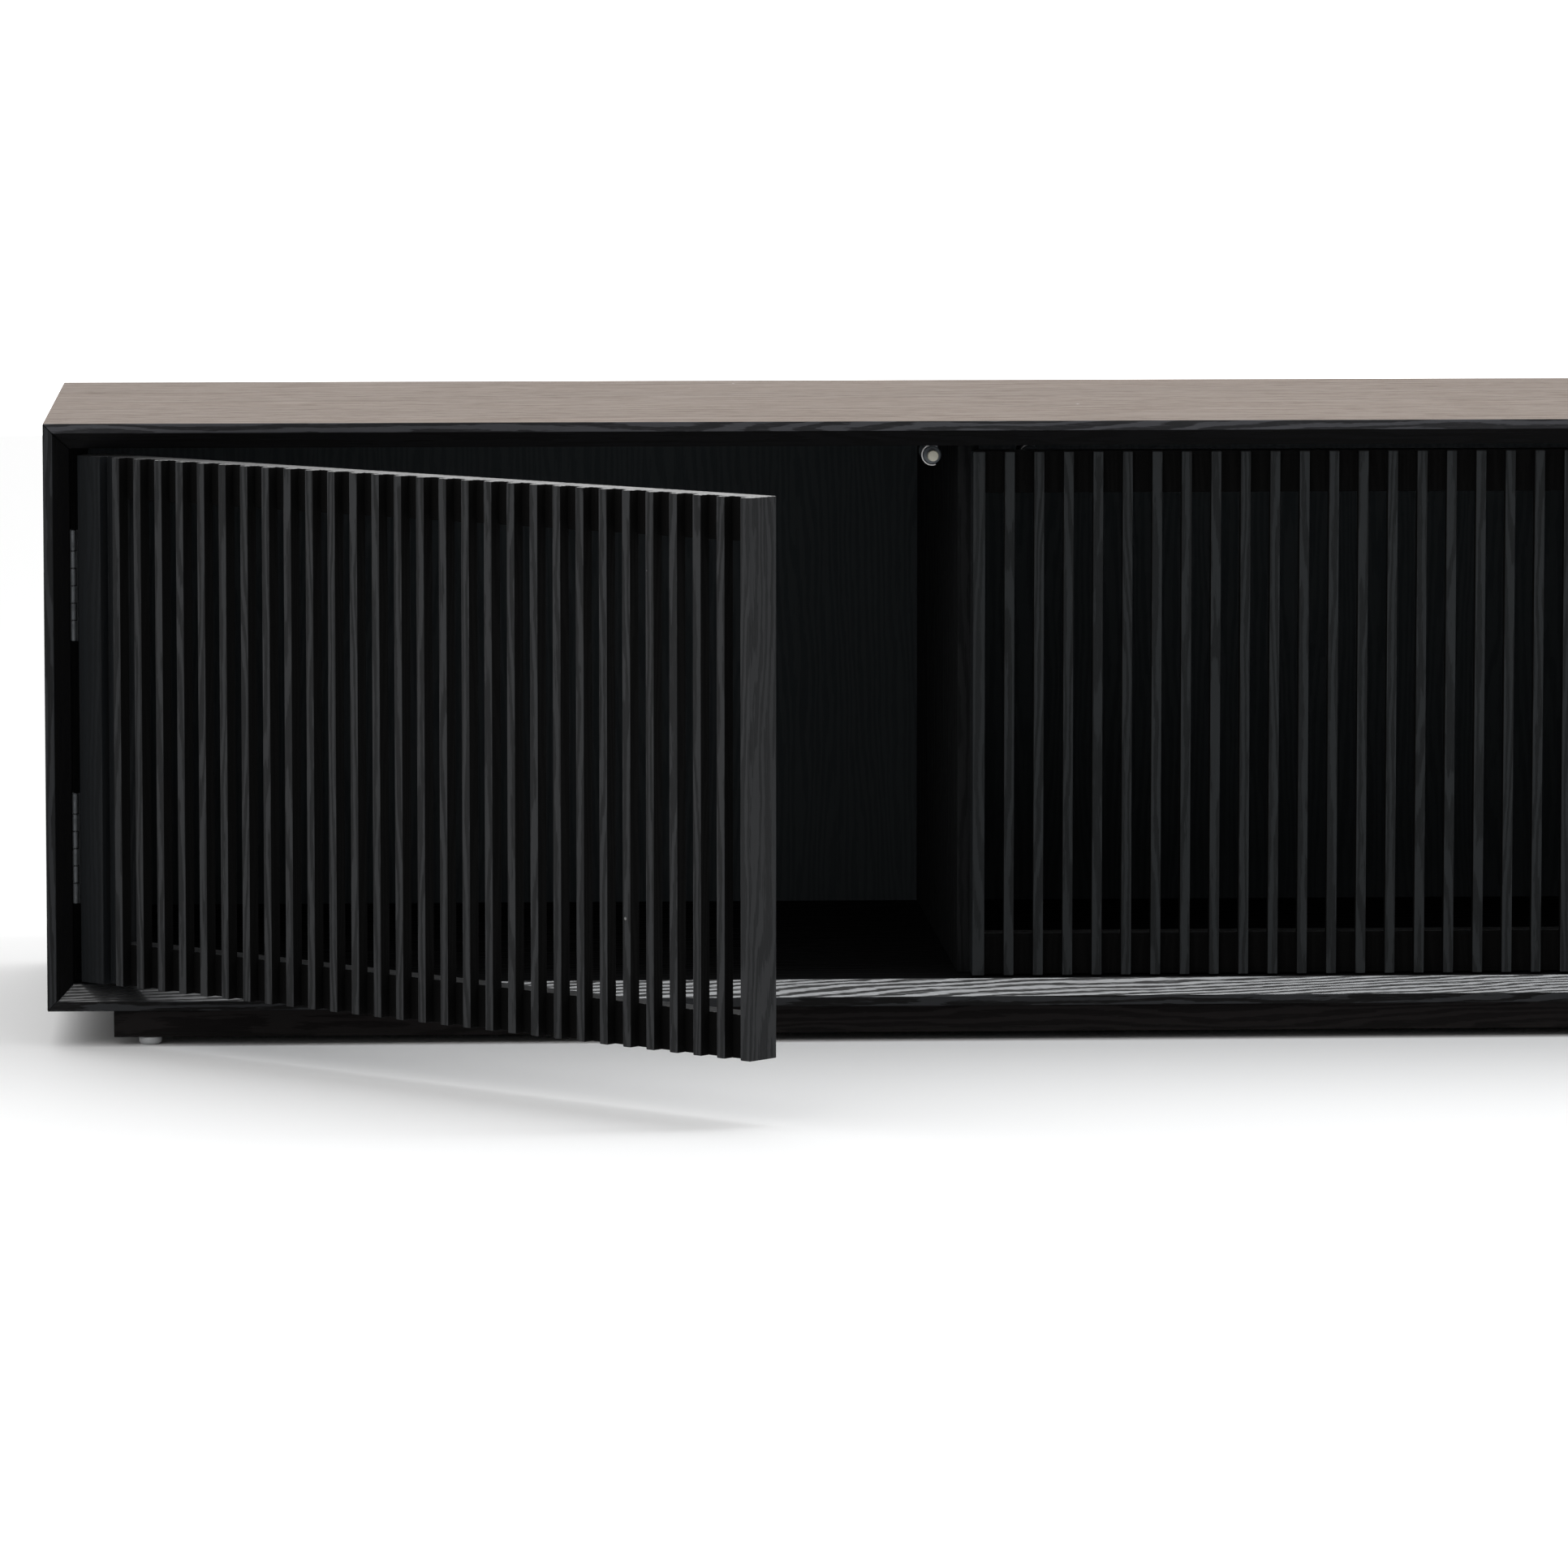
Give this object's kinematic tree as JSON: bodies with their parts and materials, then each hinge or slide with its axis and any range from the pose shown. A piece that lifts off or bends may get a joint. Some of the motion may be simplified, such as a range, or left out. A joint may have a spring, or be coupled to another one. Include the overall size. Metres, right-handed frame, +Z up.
{
  "type": "media cabinet",
  "caption": "Low media cabinet in black-stained oak with inset slatted doors on butt hinges, a mitred bevelled carcass and a recessed plinth.",
  "frame": {"origin": "on the floor at the middle of the carcass, at the underside of the centre glide", "axes": "+X to the right seen from the front, -Y to the front, +Z up"},
  "size_m": [2, 0.9348, 0.45],
  "materials": {
    "black_oak": "black stained open-grain oak, satin",
    "top_oak": "brown-grey stained oak top, satin lacquer",
    "dark_inside": "black stained veneer, matt",
    "plinth_oak": "black stained oak, matt",
    "hinge_steel": "dark satin steel",
    "glide_plastic": "smooth",
    "catch_plastic": "smooth",
    "plunger_plastic": "smooth"
  },
  "bodies": {
    "carcass": {"top_panel": "top_oak", "bottom_panel": "black_oak", "left_side": "black_oak", "right_side": "black_oak", "left_partition": "dark_inside", "right_partition": "dark_inside", "left_back_panel": "dark_inside", "middle_back_panel": "dark_inside", "right_back_panel": "dark_inside", "plinth_front": "plinth_oak", "plinth_back": "plinth_oak", "plinth_left": "plinth_oak", "plinth_right": "plinth_oak", "plinth_centre": "plinth_oak", "glide_front_left": "glide_plastic", "glide_front_right": "glide_plastic", "glide_back_left": "glide_plastic", "glide_back_right": "glide_plastic", "glide_centre": "glide_plastic", "left_door_upper_hinge_cabinet_leaf": "hinge_steel", "left_door_upper_hinge_pin": "hinge_steel", "left_door_lower_hinge_cabinet_leaf": "hinge_steel", "left_door_lower_hinge_pin": "hinge_steel", "middle_door_upper_hinge_cabinet_leaf": "hinge_steel", "middle_door_upper_hinge_pin": "hinge_steel", "middle_door_lower_hinge_cabinet_leaf": "hinge_steel", "middle_door_lower_hinge_pin": "hinge_steel", "right_door_upper_hinge_cabinet_leaf": "hinge_steel", "right_door_upper_hinge_pin": "hinge_steel", "right_door_lower_hinge_cabinet_leaf": "hinge_steel", "right_door_lower_hinge_pin": "hinge_steel", "left_catch_housing": "catch_plastic", "middle_catch_housing": "catch_plastic", "right_catch_housing": "catch_plastic"},
    "left_door": {"left_door_hinge_stile": "black_oak", "left_door_free_stile": "black_oak", "left_door_grille": "black_oak", "left_door_strike": "hinge_steel", "left_door_upper_hinge_door_leaf": "hinge_steel", "left_door_lower_hinge_door_leaf": "hinge_steel"},
    "middle_door": {"middle_door_hinge_stile": "black_oak", "middle_door_free_stile": "black_oak", "middle_door_grille": "black_oak", "middle_door_strike": "hinge_steel", "middle_door_upper_hinge_door_leaf": "hinge_steel", "middle_door_lower_hinge_door_leaf": "hinge_steel"},
    "right_door": {"right_door_hinge_stile": "black_oak", "right_door_free_stile": "black_oak", "right_door_grille": "black_oak", "right_door_strike": "hinge_steel", "right_door_upper_hinge_door_leaf": "hinge_steel", "right_door_lower_hinge_door_leaf": "hinge_steel"},
    "left_plunger": {"left_catch_plunger": "plunger_plastic"},
    "middle_plunger": {"middle_catch_plunger": "plunger_plastic"},
    "right_plunger": {"right_catch_plunger": "plunger_plastic"}
  },
  "joints": [
    {"name": "left_door_swing", "type": "hinge", "parent": "carcass", "child": "left_door", "pos_m": [-0.97925, -0.2385, 0.238], "axis": [0, 0, -1], "range_deg": [-44, 56]},
    {"name": "middle_door_swing", "type": "hinge", "parent": "carcass", "child": "middle_door", "pos_m": [0.31392, -0.2385, 0.238], "axis": [0, 0, 1], "range_deg": [0, 100]},
    {"name": "right_door_swing", "type": "hinge", "parent": "carcass", "child": "right_door", "pos_m": [0.97925, -0.2385, 0.238], "axis": [0, 0, 1], "range_deg": [0, 100]},
    {"name": "left_catch_push", "type": "slide", "parent": "carcass", "child": "left_plunger", "axis": [0, 1, 0], "range_m": [0, 0.004], "stiffness_N_per_m": 300},
    {"name": "middle_catch_push", "type": "slide", "parent": "carcass", "child": "middle_plunger", "axis": [0, 1, 0], "range_m": [0, 0.004], "stiffness_N_per_m": 300},
    {"name": "right_catch_push", "type": "slide", "parent": "carcass", "child": "right_plunger", "axis": [0, 1, 0], "range_m": [0, 0.004], "stiffness_N_per_m": 300}
  ]
}
